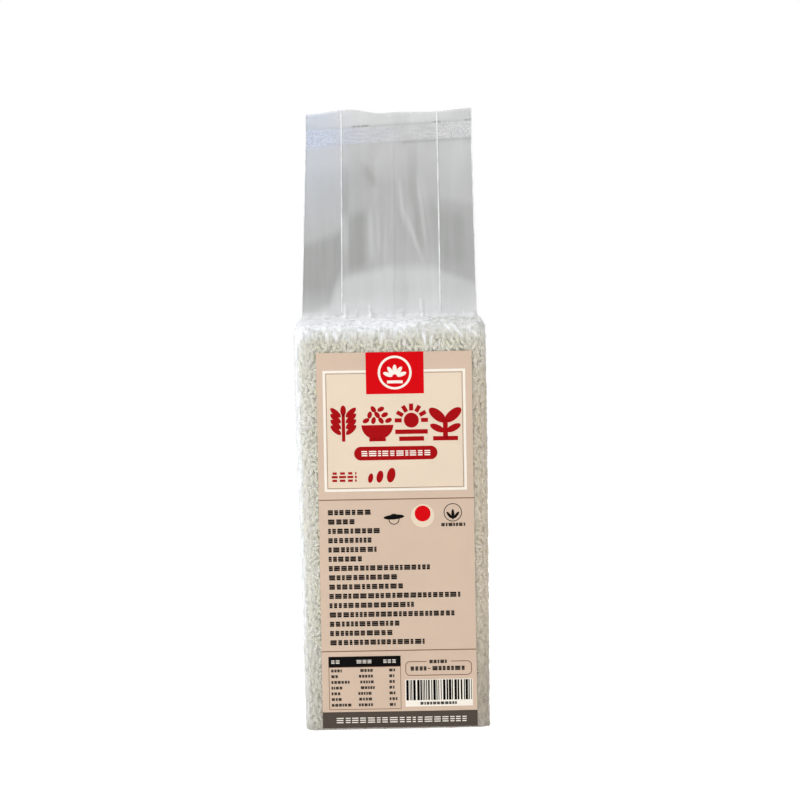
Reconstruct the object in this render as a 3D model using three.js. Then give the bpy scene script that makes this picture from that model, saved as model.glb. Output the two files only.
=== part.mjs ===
// A vacuum-packed brick of white rice in a clear side-gusset bag, with a label on its front.
// Millimetres, +Z up, the label faces -Y, and the origin is at the middle of the base.

import * as THREE from 'three';

// The rice brick: it stands on its foot and is a little wider at the top.
const brickHeight = 249; // foot to the line where the film tail starts
const brickFootWidth = 112;
const brickTopWidth = 116;
const brickDepth = 42;
const brickCorner = 7; // radius of the upright edges
const footChamfer = 1.4;
const shoulderHeight = 11; // the rounded stretch below the tail

// The flat film tail above the rice, with a gusset folded in at each side.
const tailHeight = 126; // shoulder to the mean cut edge
const tailFootWidth = 105.8;
const tailSealWidth = 100.4;
const tailFootThickness = 3.4;
const tailFilmThickness = 2.2;
const tailEdgeRadius = 0.5;
const gussetFold = 22; // how far the side panels fold in
const tailShift = 2; // sideways shift at the cut edge
const tailLean = 5; // how far the cut edge leans back

// The heat-seal band across the tail, and the open lip above it.
const sealBottom = 107; // above the tail's foot
const sealHeight = 10.3;
const sealThickness = 1.3;
const sealTilt = THREE.MathUtils.degToRad(2.35);
const lipRise = 2.2; // where the cut edge curls up, left of the middle
const lipDip = 1.5; // where it sags, right of the middle

// The label on the front.
const labelWidth = 93.5;
const labelHeight = 226.8;
const labelThickness = 0.4;
const labelCorner = 0.8;
const labelFoot = 1.5; // above the floor
const labelShift = 1.8; // sideways from the middle
const labelTurn = THREE.MathUtils.degToRad(0.2);
const labelGap = 0.3;

// The film is sucked in between the grains, so the brick is dented at their spacing.
const grainSpacing = 5.8;
const grainDent = 0.7;
const tailSpacing = 9;

const panelSteps = 9; // along half of the front
const cornerSteps = 2;
const sideSteps = 3; // from a corner to the middle of a side
const shoulderSteps = 6;

const { lerp, smoothstep } = THREE.MathUtils;

const filmMaterial = new THREE.MeshStandardMaterial({ color: 0xd6d2c4, roughness: 0.18, metalness: 0 });
const labelMaterial = new THREE.MeshStandardMaterial({ color: 0xd8bfa9, roughness: 0.45, metalness: 0 });

// A repeatable number from 0 to 1 for each pair of whole numbers.
function scatter(column, row) {
  const wave = Math.sin(column * 127.1 + row * 311.7) * 43758.5453;
  return wave - Math.floor(wave);
}

// One quarter of a level outline, from the middle of the front to the middle of the right side.
// Each point carries the direction that faces out of the brick there.
function quarterOutline({ halfWidth, halfDepth, corner, fold }) {
  const points = [];
  for (let i = 0; i <= panelSteps; i++) {
    const x = (halfWidth - corner) * (i / panelSteps);
    points.push({ x, y: -halfDepth, outX: 0, outY: -1 });
  }
  for (let i = 1; i <= cornerSteps; i++) {
    const angle = (Math.PI / 2) * (i / cornerSteps);
    const outX = Math.sin(angle);
    const outY = -Math.cos(angle);
    points.push({
      x: halfWidth - corner + corner * outX,
      y: -halfDepth + corner + corner * outY,
      outX,
      outY,
    });
  }
  for (let i = 1; i <= sideSteps; i++) {
    const share = i / sideSteps;
    points.push({ x: halfWidth - fold * share, y: (corner - halfDepth) * (1 - share), outX: 1, outY: 0 });
  }
  return points;
}

// The whole outline, anticlockwise from above, mirrored from the quarter.
function outline(level) {
  const quarter = quarterOutline(level);
  const last = quarter.length - 1;
  const flip = (signX, signY) => (p) => ({
    x: p.x * signX,
    y: p.y * signY,
    outX: p.outX * signX,
    outY: p.outY * signY,
  });
  return [
    ...quarter.slice(0, last),
    ...quarter.slice(1).map(flip(1, -1)).reverse(),
    ...quarter.slice(0, last).map(flip(-1, -1)),
    ...quarter.slice(1).map(flip(-1, 1)).reverse(),
  ];
}

function brickHalfWidth(z) {
  return lerp(brickFootWidth, brickTopWidth, Math.sin((Math.PI / 2) * Math.min(z / brickHeight, 1))) / 2;
}

// The label presses the front flat; the dents fade out towards the foot and the shoulder.
function dentAt(point, row, column, z) {
  const behindLabel = point.outY < -0.99 && z < labelFoot + labelHeight + grainSpacing
    && Math.abs(point.x - labelShift) < labelWidth / 2 + 1;
  if (behindLabel) return 0;
  const shoulderFoot = brickHeight - shoulderHeight;
  const fade = smoothstep(z, footChamfer, grainSpacing) * (1 - smoothstep(z, shoulderFoot - 1, brickHeight));
  return grainDent * scatter(column, row) * fade;
}

function brickRings() {
  const halfDepth = brickDepth / 2;
  const rings = [];
  rings.push(outline({
    halfWidth: brickFootWidth / 2 - footChamfer,
    halfDepth: halfDepth - footChamfer,
    corner: brickCorner - footChamfer,
    fold: 0,
  }).map((p) => new THREE.Vector3(p.x, p.y, 0)));

  const top = brickHeight - shoulderHeight;
  const rows = Math.round((top - footChamfer) / grainSpacing);
  for (let row = 0; row <= rows; row++) {
    const z = lerp(footChamfer, top, row / rows);
    const level = outline({ halfWidth: brickHalfWidth(z), halfDepth, corner: brickCorner, fold: 0 });
    rings.push(level.map((p, column) => {
      const dent = dentAt(p, row, column, z);
      return new THREE.Vector3(p.x - p.outX * dent, p.y - p.outY * dent, z);
    }));
  }
  return rings;
}

// The shoulder is a quarter ellipse from the front up to the tail, and the gusset folds in as it rises.
function shoulderRings() {
  const rings = [];
  const foot = brickHeight - shoulderHeight;
  for (let i = 1; i <= shoulderSteps; i++) {
    const angle = (Math.PI / 2) * (i / shoulderSteps);
    const spread = Math.cos(angle);
    const level = outline({
      halfWidth: lerp(tailFootWidth / 2, brickHalfWidth(foot), spread),
      halfDepth: lerp(tailFootThickness / 2, brickDepth / 2, spread),
      corner: lerp(tailEdgeRadius, brickCorner, spread),
      fold: gussetFold * Math.sin(angle),
    });
    const z = foot + shoulderHeight * Math.sin(angle);
    rings.push(level.map((p) => new THREE.Vector3(p.x, p.y, z)));
  }
  return rings;
}

function lipWave(x) {
  const bump = (middle, reach) => Math.exp(-(((x - middle) / reach) ** 2));
  return lipRise * bump(-25, 12) - lipDip * bump(12, 22);
}

// One level of the tail. rise is its height above the tail's foot.
function tailRing({ rise, thickness, fold, wave = 0 }) {
  const share = rise / tailHeight;
  const level = outline({
    halfWidth: lerp(tailFootWidth, tailSealWidth, Math.min(rise / sealBottom, 1)) / 2,
    halfDepth: thickness / 2,
    corner: tailEdgeRadius,
    fold,
  });
  const tilt = Math.tan(sealTilt) * Math.min(rise / sealBottom, 1);
  return level.map((p) => new THREE.Vector3(
    p.x + tailShift * share,
    p.y + tailLean * share * share,
    brickHeight + rise + p.x * tilt + lipWave(p.x) * wave,
  ));
}

function tailRings() {
  const rings = [];
  const rows = Math.round(sealBottom / tailSpacing);
  for (let row = 1; row < rows; row++) {
    const rise = sealBottom * (row / rows);
    rings.push(tailRing({ rise, thickness: tailFilmThickness, fold: gussetFold }));
  }
  const sealTop = sealBottom + sealHeight;
  // The layers are welded together in the band, so the folds close there and open again in the lip.
  rings.push(tailRing({ rise: sealBottom, thickness: sealThickness, fold: 0 }));
  rings.push(tailRing({ rise: sealTop, thickness: sealThickness, fold: 0 }));
  rings.push(tailRing({ rise: sealTop + 1.2, thickness: tailFilmThickness, fold: gussetFold, wave: 0.1 }));
  rings.push(tailRing({ rise: tailHeight, thickness: tailFilmThickness, fold: gussetFold, wave: 1 }));
  return rings;
}

// Joins the rings from the bottom up and closes both ends.
function loft(rings) {
  const count = rings[0].length;
  const positions = rings.flat().flatMap((p) => [p.x, p.y, p.z]);
  const indices = [];
  for (let r = 0; r < rings.length - 1; r++) {
    for (let i = 0; i < count; i++) {
      const next = (i + 1) % count;
      const a = r * count + i;
      const b = r * count + next;
      indices.push(a, b, b + count, a, b + count, a + count);
    }
  }
  const cap = (ring) => THREE.ShapeUtils.triangulateShape(ring.map((p) => new THREE.Vector2(p.x, p.y)), []);
  const topStart = (rings.length - 1) * count;
  for (const [a, b, c] of cap(rings[0])) indices.push(a, c, b);
  for (const [a, b, c] of cap(rings.at(-1))) indices.push(topStart + a, topStart + b, topStart + c);

  const geometry = new THREE.BufferGeometry();
  geometry.setAttribute('position', new THREE.Float32BufferAttribute(positions, 3));
  geometry.setIndex(indices);
  geometry.computeVertexNormals();
  return geometry;
}

function makeBag() {
  const bag = new THREE.Mesh(loft([...brickRings(), ...shoulderRings(), ...tailRings()]), filmMaterial);
  bag.name = 'rice_bag';
  return bag;
}

function makeLabel() {
  const x = labelWidth / 2;
  const y = labelHeight / 2;
  const r = labelCorner;
  const shape = new THREE.Shape()
    .moveTo(r - x, -y)
    .lineTo(x - r, -y)
    .absarc(x - r, r - y, r, -Math.PI / 2, 0)
    .lineTo(x, y - r)
    .absarc(x - r, y - r, r, 0, Math.PI / 2)
    .lineTo(r - x, y)
    .absarc(r - x, y - r, r, Math.PI / 2, Math.PI)
    .lineTo(-x, r - y)
    .absarc(r - x, r - y, r, Math.PI, Math.PI * 1.5);
  const geometry = new THREE.ExtrudeGeometry(shape, { depth: labelThickness, bevelEnabled: false, curveSegments: 3 });
  const label = new THREE.Mesh(geometry, labelMaterial);
  label.name = 'front_label';
  label.rotation.x = Math.PI / 2; // stands it up, facing -Y

  const turned = new THREE.Group();
  turned.add(label);
  turned.rotation.y = labelTurn;
  turned.position.set(labelShift, -(brickDepth / 2 + labelGap), labelFoot + labelHeight / 2);
  return turned;
}

const pack = new THREE.Group();
pack.add(makeBag());
pack.add(makeLabel());

export default pack;
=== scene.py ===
# A vacuum pack of white rice: grains under tight clear film, a flat film tail and a printed label.
import math
import random

import bmesh
import bpy
import numpy as np
from mathutils import Matrix, Vector, noise
from mathutils.bvhtree import BVHTree
from mathutils.kdtree import KDTree


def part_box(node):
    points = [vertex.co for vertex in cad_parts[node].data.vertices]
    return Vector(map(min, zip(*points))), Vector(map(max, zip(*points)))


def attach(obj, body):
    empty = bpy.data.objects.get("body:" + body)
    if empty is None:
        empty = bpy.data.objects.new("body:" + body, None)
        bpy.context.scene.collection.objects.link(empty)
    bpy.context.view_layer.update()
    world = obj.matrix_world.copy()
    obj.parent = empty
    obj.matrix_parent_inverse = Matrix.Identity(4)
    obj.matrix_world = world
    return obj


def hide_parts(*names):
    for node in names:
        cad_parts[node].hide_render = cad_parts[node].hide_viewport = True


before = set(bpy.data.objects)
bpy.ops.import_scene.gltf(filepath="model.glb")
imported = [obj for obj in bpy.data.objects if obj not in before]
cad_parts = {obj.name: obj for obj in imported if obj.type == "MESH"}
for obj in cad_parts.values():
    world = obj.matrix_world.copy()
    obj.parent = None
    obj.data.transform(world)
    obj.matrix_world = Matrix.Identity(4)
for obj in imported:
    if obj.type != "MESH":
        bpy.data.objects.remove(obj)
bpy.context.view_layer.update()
bagLow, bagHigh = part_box("rice_bag")
mm = 0.001

# The bag's form in millimetres, as the solid has it.
pack = {
    "height": 249,  # foot to the tail's foot
    "footWidth": 112,
    "topWidth": 116,
    "depth": (bagHigh.y - bagLow.y) / mm,
    "corner": 7,
    "footRound": 1.3,
    "shoulder": 11,
    "shoulderArc": 22,  # its length along the film, which sets its number of rows
    "tailHeight": 126,
    "tailFootWidth": 105.8,
    "tailSealWidth": 100.4,
    "tailFootThickness": 3.4,
    "tailThickness": 2.2,
    "gussetFold": 22,
    "tailShift": 2,
    "tailLean": 5,
    "sealBottom": 107,
    "sealHeight": 10.3,
    "sealTilt": math.radians(2.35),
}
pack["sealTop"] = pack["sealBottom"] + pack["sealHeight"]


def blend(low, high, share):
    return low + (high - low) * share


def smooth(value, low, high):
    share = np.clip((value - low) / (high - low), 0, 1)
    return share * share * (3 - 2 * share)


def colour(code):
    # a linear colour from its code as six hexadecimal digits
    parts = [int(code[i:i + 2], 16) / 255 for i in (0, 2, 4)]
    return tuple(p / 12.92 if p <= 0.04045 else ((p + 0.055) / 1.055) ** 2.4 for p in parts) + (1,)


white = (1, 1, 1, 1)


# Node building: Value lets an expression add its Math nodes, and Nodes.node adds any other.
class Value:
    def __init__(self, nodes, socket):
        self.nodes = nodes
        self.socket = socket

    def maths(self, operation, first, second=0.0):
        return self.nodes.node("ShaderNodeMath", {"operation": operation}, {0: first, 1: second})

    def __add__(self, other):
        return self.maths("ADD", self, other)

    def __sub__(self, other):
        return self.maths("SUBTRACT", self, other)

    def __rsub__(self, other):
        return self.maths("SUBTRACT", other, self)

    def __mul__(self, other):
        return self.maths("MULTIPLY", self, other)

    def __pow__(self, other):
        return self.maths("POWER", self, other)

    __radd__ = __add__
    __rmul__ = __mul__

    def between(self, low, high):
        # 0 below low, 1 above high
        sockets = {0: self, 1: low, 2: high}
        return self.nodes.node("ShaderNodeMapRange", {"clamp": True}, sockets)

    def limited(self):
        return self.nodes.node("ShaderNodeClamp", {}, {0: self})


class Nodes:
    def __init__(self, tree):
        self.tree = tree
        tree.nodes.clear()

    def node(self, kind, settings=None, inputs=None, out=0):
        made = self.tree.nodes.new(kind)
        for name, value in (settings or {}).items():
            if name == "stops":
                for element, (place, shade) in zip(made.color_ramp.elements, value):
                    element.position = place
                    element.color = shade
            else:
                setattr(made, name, value)
        for name, value in (inputs or {}).items():
            if isinstance(value, Value):
                self.tree.links.new(value.socket, made.inputs[name])
            elif isinstance(value, str):
                made.inputs[name].default_value = colour(value)
            else:
                made.inputs[name].default_value = value
        return Value(self, made.outputs[out] if made.outputs else None)

    def mixed(self, factor, first, second):
        return self.node("ShaderNodeMix", {"data_type": "RGBA"}, {0: factor, 6: first, 7: second}, out=2)

    def place(self, stretch=(1, 1, 1)):
        spot = self.node("ShaderNodeTexCoord", out="Object")
        return self.node("ShaderNodeMapping", {}, {"Vector": spot, "Scale": stretch})

    def along(self, axis):
        # the place along X, Y or Z in metres
        return self.node("ShaderNodeSeparateXYZ", {}, {0: self.place()}, out=axis)

    def noise(self, scale, detail, roughness=0.5, stretch=(1, 1, 1)):
        sockets = {"Vector": self.place(stretch), "Scale": scale, "Detail": detail, "Roughness": roughness}
        return self.node("ShaderNodeTexNoise", {}, sockets)

    def lines(self, scale, width, stretch):
        # thin wandering lines, where a noise crosses its middle value
        away = (self.noise(scale, 2, stretch=stretch) - 0.5) * width
        return (1 - away * away).limited()

    def bump(self, height, strength, distance):
        return self.node("ShaderNodeBump", {}, {"Height": height, "Strength": strength, "Distance": distance})

    def attribute(self, name):
        return self.node("ShaderNodeAttribute", {"attribute_name": name}, out="Fac")

    def paint(self, sockets):
        return self.node("ShaderNodeBsdfPrincipled", {}, sockets)

    def clear(self):
        return self.node("ShaderNodeBsdfTransparent", {}, {"Color": white})

    def over(self, factor, below, above):
        return self.node("ShaderNodeMixShader", {}, {0: factor, 1: below, 2: above})

    def film(self, normal, roughness):
        # clear film that reflects the same from either side
        facing = self.node("ShaderNodeLayerWeight", {}, {"Blend": 0.5, "Normal": normal}, out="Facing")
        sockets = {"Color": white, "Roughness": roughness, "Normal": normal}
        gloss = self.node("ShaderNodeBsdfGlossy", {}, sockets)
        return self.over(facing ** 5 * 0.9 + 0.045, self.clear(), gloss)

    def surface(self, shader):
        self.node("ShaderNodeOutputMaterial", {}, {"Surface": shader})


def newMaterial(name):
    material = bpy.data.materials.new(name)
    material.use_nodes = True
    return material, Nodes(material.node_tree)


# Mesh building.
def linked(name, data):
    piece = bpy.data.objects.new(name, data)
    bpy.context.scene.collection.objects.link(piece)
    return piece


def meshFrom(name, bm):
    mesh = bpy.data.meshes.new(name)
    bm.to_mesh(mesh)
    bm.free()
    return mesh


def smoothPiece(name, bm):
    mesh = meshFrom(name, bm)
    mesh.shade_smooth()
    return linked(name, mesh)


def sheetFromGrid(points, rolled=False, values=None, bm=None):
    # A flat grid bent to rows x columns of points in millimetres, added to bm if there is one.
    # Rolled, its last column meets its first.
    def whole(rows):
        rows = np.array(rows)
        return np.concatenate([rows, rows[:, :1]], axis=1) if rolled else rows

    points = whole(points)
    rows, columns = points.shape[:2]
    grid = bmesh.new()
    bmesh.ops.create_grid(grid, x_segments=columns - 1, y_segments=rows - 1, size=0.5)
    mesh = meshFrom("sheet", grid)
    mesh.vertices.foreach_set("co", (points * mm).astype(np.float32).ravel())
    for key, field in (values or {}).items():
        layer = mesh.attributes.new(key, "FLOAT", "POINT")
        layer.data.foreach_set("value", whole(field).astype(np.float32).ravel())
    if bm is None:
        bm = bmesh.new()
    bm.from_mesh(mesh)
    bpy.data.meshes.remove(mesh)
    if rolled:
        bmesh.ops.remove_doubles(bm, verts=bm.verts, dist=2e-7)
        loose = [edge for edge in bm.edges if edge.is_wire]
        bmesh.ops.delete(bm, geom=loose, context="EDGES")
    return bm


def shutEnds(rings):
    # brings the front and the back of both end rows together
    for ring in (rings[0], rings[-1]):
        partner = ring[(len(ring) // 2 - np.arange(len(ring))) % len(ring)]
        ring[:] = (ring + partner) / 2
        ring[:, 1] = ring[:, 1].mean()


def noiseOver(points, stretch):
    values = [noise.noise(Vector(p) * stretch) for p in points.reshape(-1, 3)]
    return np.array(values).reshape(points.shape[:2])


def sheetPiece(name, bm, thickness):
    piece = smoothPiece(name, bm)
    modifier = piece.modifiers.new("thickness", "SOLIDIFY")
    modifier.thickness = thickness * mm
    modifier.offset = 0
    return piece


def dress(piece, material, node="rice_bag"):
    piece.data.materials.append(material)
    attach(piece, "root")
    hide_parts(node)
    return piece


# One level outline of the bag: from the middle of its front round to the right, the back and the left.
def outline(halfWidth, halfDepth, corner, fold, steps):
    panelSteps, cornerSteps, sideSteps = steps
    corner = min(corner, halfDepth)
    flat = np.linspace(0, halfWidth - corner, panelSteps + 1)
    angle = np.linspace(0, math.pi / 2, cornerSteps + 1)[1:]
    share = np.linspace(0, 1, sideSteps + 1)[1:]
    x = np.concatenate([flat, halfWidth - corner + corner * np.sin(angle), halfWidth - fold * share])
    front = np.full(panelSteps + 1, -halfDepth)
    turned = -halfDepth + corner - corner * np.cos(angle)
    y = np.concatenate([front, turned, (corner - halfDepth) * (1 - share)])
    ringX = np.concatenate([x[:-1], x[:0:-1], -x[:-1], -x[:0:-1]])
    ringY = np.concatenate([y[:-1], -y[:0:-1], -y[:-1], y[:0:-1]])
    return ringX, ringY


def halfWidthAt(z):
    share = math.sin(math.pi / 2 * min(max(z / pack["height"], 0), 1))
    return blend(pack["footWidth"], pack["topWidth"], share) / 2


# The brick's levels as (half width, half depth, corner, fold, z), from the base's middle up to the tail.
def brickLevels(inset, step):
    deep = pack["depth"] / 2 - inset
    corner = pack["corner"] - inset
    footRound = pack["footRound"]
    levels = []
    wide = halfWidthAt(0) - inset
    baseDeep = deep - footRound
    for share in np.linspace(0, 1, round(baseDeep / step) + 1)[:-1]:
        less = footRound + baseDeep * (1 - share)
        levels.append((wide - less, deep - less, max(corner - less, 0.4), 0, inset))
    for angle in np.linspace(0, math.pi / 2, 4)[:-1]:
        less = footRound * (1 - math.sin(angle))
        rise = footRound * (1 - math.cos(angle))
        levels.append((wide - less, deep - less, corner - less, 0, inset + rise))
    shoulderFoot = pack["height"] - pack["shoulder"]
    low = inset + footRound
    for z in np.linspace(low, shoulderFoot, round((shoulderFoot - low) / step) + 1):
        levels.append((halfWidthAt(z) - inset, deep, corner, 0, z))
    tailDeep = pack["tailFootThickness"] / 2
    for angle in np.linspace(0, math.pi / 2, round(pack["shoulderArc"] / step) + 1)[1:]:
        spread = math.cos(angle)
        levels.append((
            blend(pack["tailFootWidth"] / 2, halfWidthAt(shoulderFoot), spread) - inset,
            blend(tailDeep, deep, spread),
            blend(0.5, corner, spread),
            pack["gussetFold"] * math.sin(angle),
            shoulderFoot + (pack["shoulder"] - inset) * math.sin(angle),
        ))
    wide, deep, corner, fold, z = levels[-1]
    levels.append((wide, 0, 0, fold, z))
    return levels


def ringsOf(levels, steps):
    rings = []
    for halfWidth, halfDepth, corner, fold, z in levels:
        x, y = outline(halfWidth, halfDepth, corner, fold, steps)
        rings.append(np.stack([x, y, np.full(len(x), z)], axis=-1))
    return np.array(rings)


def normalsOf(points):
    across = np.roll(points, -1, axis=1) - np.roll(points, 1, axis=1)
    up = np.gradient(points, axis=0)
    normals = np.cross(across, up)
    size = np.linalg.norm(normals, axis=-1, keepdims=True)
    return np.where(size > 1e-6, normals / np.maximum(size, 1e-9), 0), size[..., 0] / 2


def labelPlace():
    turn = Matrix.Rotation(math.radians(label["turn"]), 4, "Y")
    front = -(pack["depth"] / 2 + label["gap"])
    middle = Vector((label["shift"], front, label["foot"] + label["height"] / 2))
    upright = Matrix.Rotation(math.pi / 2, 4, "X")
    return Matrix.Scale(mm, 4) @ Matrix.Translation(middle) @ turn @ upright


label = {
    "width": 93.5,
    "height": 226.8,
    "thickness": 0.3,
    "foot": 1.5,
    "shift": 1.8,
    "turn": 0.2,
    "gap": 0.3,
    "swell": 0.16,  # how far the sheet rises and falls over the rice
}


def underLabel(x, z, margin):
    # how far inside the label's outline, less the margin
    across = label["width"] / 2 - np.abs(x - label["shift"])
    return np.minimum(across, label["foot"] + label["height"] - z) - margin


# Materials.
def riceMaterial(name, dark, pale):
    material, nodes = newMaterial(name)
    belly = nodes.noise(320, 1).between(0.5, 0.72)
    cloud = nodes.noise(34, 2).between(0.3, 0.75)
    body = nodes.mixed(nodes.attribute("tone"), dark, pale)
    chalky = nodes.mixed(belly * 0.4, body, "f6f3e9")
    cloudy = nodes.mixed(cloud * 0.3, chalky, "d8d5b7")
    # painted shade: a browner, darker stretch along the right edge, and a darker one near the foot
    across = nodes.along("X").between(0.043, 0.053) * (1 - nodes.along("Y").between(-0.014, 0.004))
    below = 1 - nodes.along("Z").between(0.2, 0.245)
    rightShadedRice = nodes.mixed(across * below * 0.42, cloudy, "c6a67a")
    low = 1 - nodes.along("Z").between(0.02, 0.075)
    shade = nodes.mixed(low * (across * 0.45 + 0.44), rightShadedRice, "8c8270")
    grain = nodes.bump(nodes.noise(900, 2), 0.2, 0.0004)
    nodes.surface(nodes.paint({
        "Base Color": shade,
        "Roughness": 0.5,
        "Specular IOR Level": 0.35,
        "Subsurface Weight": 0.5,
        "Subsurface Radius": (1, 0.95, 0.8),
        "Subsurface Scale": 0.002,
        "Normal": grain,
    }))
    return material


def filmMaterial():
    # clear and glossy, whitish where it is creased or lies loose, with painted highlights and painted shade
    # in its haze
    material, nodes = newMaterial("clearFilm")
    fine = nodes.noise(420, 2, 0.55, (1, 1, 0.45))
    broad = nodes.noise(150, 3, 0.6, (1, 1, 0.3))
    normal = nodes.bump(fine * 0.4 + broad, 0.4, 0.0006)
    streak = nodes.noise(420, 3, 0.6, (1, 1, 0.3)).between(0.38, 0.66)
    loose = nodes.attribute("loose")
    crown = nodes.attribute("crown")
    # white upright lines on the loose film are painted highlights along its wrinkles, level grey lines on the
    # crown painted reflection in them
    upright = nodes.lines(300, 11, (1, 1, 0.25))
    across = nodes.lines(300, 22, (0.25, 1, 1.3))
    veil = (nodes.attribute("veil") * (0.7 + streak * 0.6) + loose * upright * 0.35).limited()
    tint = nodes.mixed(nodes.attribute("pale").limited(), "eeebdf", "f5f8fa")
    lined = nodes.mixed(crown * across * 0.25, tint, "a0a4aa")
    # painted shade along the right edge, browner, as on the rice under it
    rightShadeMask = nodes.along("X").between(0.042, 0.05) * (1 - nodes.along("Z").between(0.2, 0.24))
    rightShadedTint = nodes.mixed(rightShadeMask, lined, "e9ddca")
    # a painted shadow along the foot
    footShadowed = nodes.mixed((1 - nodes.along("Z").between(0.001, 0.009)) * 0.8, rightShadedTint, "b4aea6")
    haze = nodes.paint({"Base Color": footShadowed, "Roughness": 0.35, "Normal": normal})
    nodes.surface(nodes.over(veil, nodes.film(normal, 0.15), haze))
    return material


def tailMaterial():
    # several layers of film over each other, smoky grey where they lie close, with painted reflections,
    # highlights and shade in its tone
    material, nodes = newMaterial("tailFilm")
    normal = nodes.bump(nodes.noise(160, 3, 0.5, (1, 1, 0.12)), 0.25, 0.0006)
    cloud = nodes.noise(30, 3, 0.55, (1, 1, 0.6))
    line = nodes.noise(210, 2, 0.5, (1, 1, 0.06)).between(0.45, 0.75)
    tone = (nodes.attribute("tone") + (cloud - 0.5) * 0.2 - line * 0.07).limited()
    veil = nodes.attribute("veil").limited()
    stops = [(0, colour("f1f2f3")), (1, colour("6e7068"))]
    grey = nodes.node("ShaderNodeValToRGB", {"stops": stops}, {0: tone})
    tint = nodes.mixed(nodes.attribute("cool"), grey, "d5deee")
    haze = nodes.paint({"Base Color": tint, "Roughness": 0.3, "Normal": normal})
    nodes.surface(nodes.over(veil, nodes.film(normal, 0.14), haze))
    return material


def creaseMaterial():
    material, nodes = newMaterial("foldedFilm")
    fleck = nodes.noise(700, 2, 0.5, (1, 1, 0.2)).between(0.3, 0.7)
    shade = nodes.mixed(fleck, "f3f6f8", "ffffff")
    haze = nodes.paint({"Base Color": shade, "Roughness": 0.3})
    nodes.surface(nodes.over(0.7 + fleck * 0.3, nodes.clear(), haze))
    return material


def sealMaterial():
    # film welded between fine teeth, so it is speckled white
    material, nodes = newMaterial("weldedFilm")
    speck = nodes.noise(1700, 2, 0.7, (1, 1, 0.7))
    cloud = nodes.noise(60, 2, 0.5, (1, 1, 2))
    rows = nodes.noise(900, 2, 0.5, (0.12, 1, 1))
    normal = nodes.bump(speck, 0.35, 0.0004)
    across = nodes.along("X")
    ends = 1 - across.between(-0.04, -0.024) + across.between(0.026, 0.038)
    speckled = 0.42 + ends * 0.08 + (speck - 0.5) * (0.5 + ends * 1.2)
    veil = (speckled + (cloud - 0.5) * 0.3 + (rows - 0.5) * 0.5).limited()
    shade = nodes.mixed(across.between(-0.045, 0.01), "e4ecff", "f2f2f4")
    haze = nodes.paint({"Base Color": shade, "Roughness": 0.35, "Normal": normal})
    nodes.surface(nodes.over(veil, nodes.clear(), haze))
    return material


def inkMaterial(name, code):
    # printed satin paper: a little uneven in colour, with a fine tooth
    material, nodes = newMaterial(name)
    cloud = nodes.noise(28, 3, 0.6).between(0.3, 0.7)
    tooth = nodes.noise(2600, 2, 0.6)
    base = colour(code)
    deeper = tuple(part * 0.94 for part in base[:3]) + (1,)
    nodes.surface(nodes.paint({
        "Base Color": nodes.mixed(cloud * 0.8 + tooth * 0.2, deeper, base),
        "Roughness": 0.37 + tooth * 0.1,
        "Specular IOR Level": 0.08,
        "Normal": nodes.bump(tooth, 0.12, 0.0002),
    }))
    return material


film = filmMaterial()
tailFilm = tailMaterial()
creasedFilm = creaseMaterial()
weldedFilm = sealMaterial()

# The rice core, under the loose grains.
core = {"inset": 2.7, "step": 2.4, "steps": (20, 4, 6), "lumps": 0.4, "relief": 0.5}


def makeCore():
    points = ringsOf(brickLevels(core["inset"], core["step"]), core["steps"])
    normals, _ = normalsOf(points)
    lumps = noiseOver(points, core["lumps"])
    points = points + normals * (lumps * core["relief"])[..., None]
    shutEnds(points)
    return smoothPiece("rice_core", sheetFromGrid(points, True, {"tone": 0.45 + lumps * 0.4}))


riceCore = dress(makeCore(), riceMaterial("packedRice", "e4e1c8", "f4f1e0"))
print("core made", len(riceCore.data.polygons))

# The loose grains that press against the film.
grains = {
    "seed": 11,
    "step": 1.6,
    "steps": (32, 5, 9),
    "spacing": 2.25,
    "deepSpacing": 2.9,
    "deepInset": 1.3,
    "tries": 60000,
    "tilt": 9,
    "vary": 0.07,  # how much their sizes differ
    "proud": 0.4,  # how far an end may stand out of the brick's form
    "lowest": 0.15,
    "kinds": {
        "slender_grains": {"share": 0.46, "length": 6.9, "width": 2.05, "dark": "e5e2ca", "pale": "f8f6e9"},
        "plump_grains": {"share": 0.34, "length": 5.9, "width": 2.3, "dark": "e1dec5", "pale": "f7f4e5"},
        "chalky_grains": {"share": 0.12, "length": 6.3, "width": 2.15, "dark": "f1eee3", "pale": "fdfbf6"},
        "broken_grains": {"share": 0.08, "length": 3.4, "width": 2.05, "dark": "e5e2ca", "pale": "f8f6e9"},
    },
}


def grainShape(broken):
    # one grain along X, a unit long and wide, a little bowed and fuller at one end
    bm = bmesh.new()
    bmesh.ops.create_uvsphere(bm, u_segments=6, v_segments=4, radius=0.5)
    bmesh.ops.rotate(bm, cent=(0, 0, 0), matrix=Matrix.Rotation(math.pi / 2, 3, "Y"), verts=bm.verts)
    bmesh.ops.triangulate(bm, faces=bm.faces)
    for vert in bm.verts:
        along = vert.co.x * 2
        full = 1.12 - 0.12 * along
        if 0.2 < abs(along) < 0.95:
            vert.co.x *= 1.12
        vert.co.y = vert.co.y * full + 0.05 * (along * along - 0.4)
        vert.co.z = vert.co.z * full * 0.85
        if broken and along > 0.9:
            vert.co.x = 0.3
    points = np.array([vert.co[:] for vert in bm.verts])
    bm.faces.ensure_lookup_table()
    faces = np.array([[vert.index for vert in face.verts] for face in bm.faces])
    bm.free()
    return points, faces


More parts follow.
